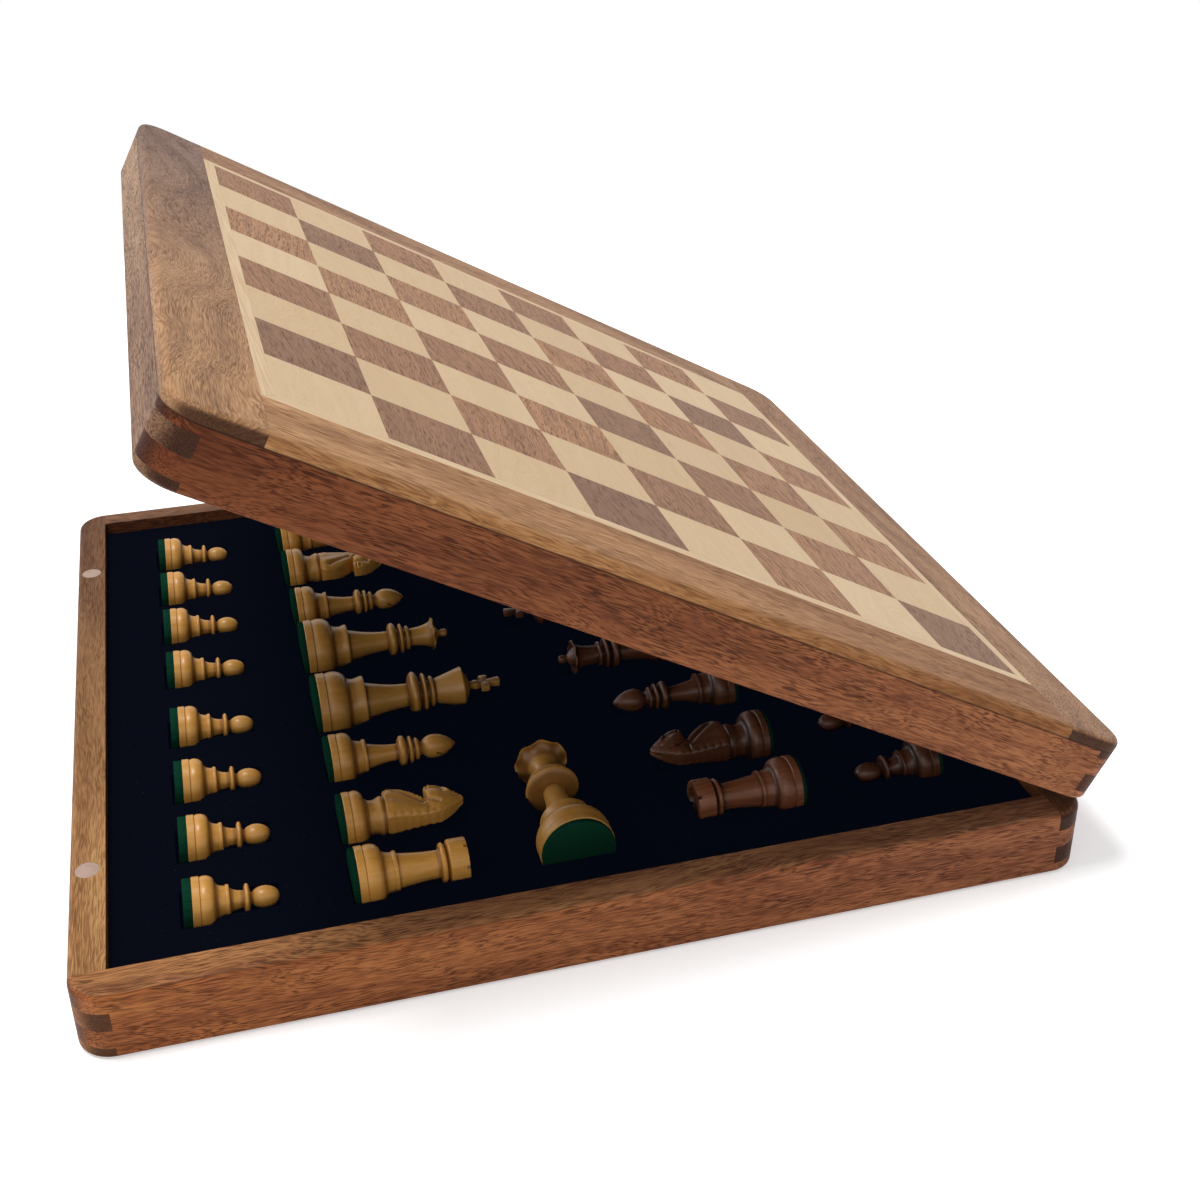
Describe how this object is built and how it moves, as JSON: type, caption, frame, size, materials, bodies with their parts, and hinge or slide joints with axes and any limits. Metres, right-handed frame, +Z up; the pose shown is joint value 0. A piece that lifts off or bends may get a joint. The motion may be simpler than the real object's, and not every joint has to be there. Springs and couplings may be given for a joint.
{
  "type": "chess box with hinged lid",
  "caption": "Square wooden box whose lid carries a chessboard; it swings up on hinges over a dark foam tray that holds two sets of turned chess pieces lying in nests.",
  "frame": {"origin": "centre of the base's flat underside", "axes": "+Z up, out of the base; +X from the opening side towards the hinges; +Y from the near side to the far side"},
  "size_m": [0.3677, 0.356, 0.2193],
  "materials": {
    "side_wood": "oiled walnut-brown side boards",
    "border_wood": "satin pale brown border boards",
    "light_inlay": "satin maple",
    "dark_inlay": "satin walnut",
    "panel_wood": "plain panel",
    "foam": "dark flocked foam",
    "lining": "dark felt",
    "magnet": "plated disc",
    "brass": "brushed brass",
    "white_piece": "waxed boxwood with green felt",
    "dark_piece": "waxed rosewood with green felt",
    "felt": "green felt"
  },
  "bodies": {
    "base": {"base_front_board": "side_wood", "base_hinge_board": "side_wood", "base_near_board": "side_wood", "base_far_board": "side_wood", "base_bottom_panel": "panel_wood", "foam_tray": "foam", "base_magnets": "magnet", "hinge_base_leaves": "brass", "hinge_pins": "brass", "base_hinge_screws": "brass"},
    "lid": {"lid_front_board": "side_wood", "lid_hinge_board": "side_wood", "lid_near_board": "side_wood", "lid_far_board": "side_wood", "lid_border_front": "border_wood", "lid_border_hinge": "border_wood", "lid_border_near": "border_wood", "lid_border_far": "border_wood", "board_core": "panel_wood", "board_stringing": "light_inlay", "light_squares": "light_inlay", "dark_squares": "dark_inlay", "lid_lining": "lining", "lid_magnets": "magnet", "hinge_lid_leaves": "brass", "lid_hinge_screws": "brass"},
    "white_king": {"white_king": "white_piece"},
    "white_queen": {"white_queen": "white_piece"},
    "white_spare_queen": {"white_spare_queen": "white_piece"},
    "white_bishop_near": {"white_bishop_near": "white_piece"},
    "white_bishop_far": {"white_bishop_far": "white_piece"},
    "white_knight_near": {"white_knight_near": "white_piece"},
    "white_knight_far": {"white_knight_far": "white_piece"},
    "white_rook_near": {"white_rook_near": "white_piece"},
    "white_rook_far": {"white_rook_far": "white_piece"},
    "white_pawn_1": {"white_pawn_1": "white_piece"},
    "white_pawn_2": {"white_pawn_2": "white_piece"},
    "white_pawn_3": {"white_pawn_3": "white_piece"},
    "white_pawn_4": {"white_pawn_4": "white_piece"},
    "white_pawn_5": {"white_pawn_5": "white_piece"},
    "white_pawn_6": {"white_pawn_6": "white_piece"},
    "white_pawn_7": {"white_pawn_7": "white_piece"},
    "white_pawn_8": {"white_pawn_8": "white_piece"},
    "dark_king": {"dark_king": "dark_piece"},
    "dark_queen": {"dark_queen": "dark_piece"},
    "dark_spare_queen": {"dark_spare_queen": "dark_piece"},
    "dark_bishop_near": {"dark_bishop_near": "dark_piece"},
    "dark_bishop_far": {"dark_bishop_far": "dark_piece"},
    "dark_knight_near": {"dark_knight_near": "dark_piece"},
    "dark_knight_far": {"dark_knight_far": "dark_piece"},
    "dark_rook_near": {"dark_rook_near": "dark_piece"},
    "dark_rook_far": {"dark_rook_far": "dark_piece"},
    "dark_pawn_1": {"dark_pawn_1": "dark_piece"},
    "dark_pawn_2": {"dark_pawn_2": "dark_piece"},
    "dark_pawn_3": {"dark_pawn_3": "dark_piece"},
    "dark_pawn_4": {"dark_pawn_4": "dark_piece"},
    "dark_pawn_5": {"dark_pawn_5": "dark_piece"},
    "dark_pawn_6": {"dark_pawn_6": "dark_piece"},
    "dark_pawn_7": {"dark_pawn_7": "dark_piece"},
    "dark_pawn_8": {"dark_pawn_8": "dark_piece"}
  },
  "joints": [
    {"name": "box_lid_hinge", "type": "hinge", "parent": "base", "child": "lid", "pos_m": [0.179, 0, 0.02595], "axis": [0, 1, 0], "range_deg": [-28.7, 151]},
    {"name": "white_king_lift", "type": "slide", "parent": "base", "child": "white_king", "axis": [0, 0, 1], "range_m": [0, 0.025]},
    {"name": "white_queen_lift", "type": "slide", "parent": "base", "child": "white_queen", "axis": [0, 0, 1], "range_m": [0, 0.025]},
    {"name": "white_spare_queen_lift", "type": "slide", "parent": "base", "child": "white_spare_queen", "axis": [0, 0, 1], "range_m": [0, 0.025]},
    {"name": "white_bishop_near_lift", "type": "slide", "parent": "base", "child": "white_bishop_near", "axis": [0, 0, 1], "range_m": [0, 0.025]},
    {"name": "white_bishop_far_lift", "type": "slide", "parent": "base", "child": "white_bishop_far", "axis": [0, 0, 1], "range_m": [0, 0.025]},
    {"name": "white_knight_near_lift", "type": "slide", "parent": "base", "child": "white_knight_near", "axis": [0, 0, 1], "range_m": [0, 0.025]},
    {"name": "white_knight_far_lift", "type": "slide", "parent": "base", "child": "white_knight_far", "axis": [0, 0, 1], "range_m": [0, 0.025]},
    {"name": "white_rook_near_lift", "type": "slide", "parent": "base", "child": "white_rook_near", "axis": [0, 0, 1], "range_m": [0, 0.025]},
    {"name": "white_rook_far_lift", "type": "slide", "parent": "base", "child": "white_rook_far", "axis": [0, 0, 1], "range_m": [0, 0.025]},
    {"name": "white_pawn_1_lift", "type": "slide", "parent": "base", "child": "white_pawn_1", "axis": [0, 0, 1], "range_m": [0, 0.025]},
    {"name": "white_pawn_2_lift", "type": "slide", "parent": "base", "child": "white_pawn_2", "axis": [0, 0, 1], "range_m": [0, 0.025]},
    {"name": "white_pawn_3_lift", "type": "slide", "parent": "base", "child": "white_pawn_3", "axis": [0, 0, 1], "range_m": [0, 0.025]},
    {"name": "white_pawn_4_lift", "type": "slide", "parent": "base", "child": "white_pawn_4", "axis": [0, 0, 1], "range_m": [0, 0.025]},
    {"name": "white_pawn_5_lift", "type": "slide", "parent": "base", "child": "white_pawn_5", "axis": [0, 0, 1], "range_m": [0, 0.025]},
    {"name": "white_pawn_6_lift", "type": "slide", "parent": "base", "child": "white_pawn_6", "axis": [0, 0, 1], "range_m": [0, 0.025]},
    {"name": "white_pawn_7_lift", "type": "slide", "parent": "base", "child": "white_pawn_7", "axis": [0, 0, 1], "range_m": [0, 0.025]},
    {"name": "white_pawn_8_lift", "type": "slide", "parent": "base", "child": "white_pawn_8", "axis": [0, 0, 1], "range_m": [0, 0.025]},
    {"name": "dark_king_lift", "type": "slide", "parent": "base", "child": "dark_king", "axis": [0, 0, 1], "range_m": [0, 0.025]},
    {"name": "dark_queen_lift", "type": "slide", "parent": "base", "child": "dark_queen", "axis": [0, 0, 1], "range_m": [0, 0.025]},
    {"name": "dark_spare_queen_lift", "type": "slide", "parent": "base", "child": "dark_spare_queen", "axis": [0, 0, 1], "range_m": [0, 0.025]},
    {"name": "dark_bishop_near_lift", "type": "slide", "parent": "base", "child": "dark_bishop_near", "axis": [0, 0, 1], "range_m": [0, 0.025]},
    {"name": "dark_bishop_far_lift", "type": "slide", "parent": "base", "child": "dark_bishop_far", "axis": [0, 0, 1], "range_m": [0, 0.025]},
    {"name": "dark_knight_near_lift", "type": "slide", "parent": "base", "child": "dark_knight_near", "axis": [0, 0, 1], "range_m": [0, 0.025]},
    {"name": "dark_knight_far_lift", "type": "slide", "parent": "base", "child": "dark_knight_far", "axis": [0, 0, 1], "range_m": [0, 0.025]},
    {"name": "dark_rook_near_lift", "type": "slide", "parent": "base", "child": "dark_rook_near", "axis": [0, 0, 1], "range_m": [0, 0.025]},
    {"name": "dark_rook_far_lift", "type": "slide", "parent": "base", "child": "dark_rook_far", "axis": [0, 0, 1], "range_m": [0, 0.025]},
    {"name": "dark_pawn_1_lift", "type": "slide", "parent": "base", "child": "dark_pawn_1", "axis": [0, 0, 1], "range_m": [0, 0.025]},
    {"name": "dark_pawn_2_lift", "type": "slide", "parent": "base", "child": "dark_pawn_2", "axis": [0, 0, 1], "range_m": [0, 0.025]},
    {"name": "dark_pawn_3_lift", "type": "slide", "parent": "base", "child": "dark_pawn_3", "axis": [0, 0, 1], "range_m": [0, 0.025]},
    {"name": "dark_pawn_4_lift", "type": "slide", "parent": "base", "child": "dark_pawn_4", "axis": [0, 0, 1], "range_m": [0, 0.025]},
    {"name": "dark_pawn_5_lift", "type": "slide", "parent": "base", "child": "dark_pawn_5", "axis": [0, 0, 1], "range_m": [0, 0.025]},
    {"name": "dark_pawn_6_lift", "type": "slide", "parent": "base", "child": "dark_pawn_6", "axis": [0, 0, 1], "range_m": [0, 0.025]},
    {"name": "dark_pawn_7_lift", "type": "slide", "parent": "base", "child": "dark_pawn_7", "axis": [0, 0, 1], "range_m": [0, 0.025]},
    {"name": "dark_pawn_8_lift", "type": "slide", "parent": "base", "child": "dark_pawn_8", "axis": [0, 0, 1], "range_m": [0, 0.025]}
  ]
}
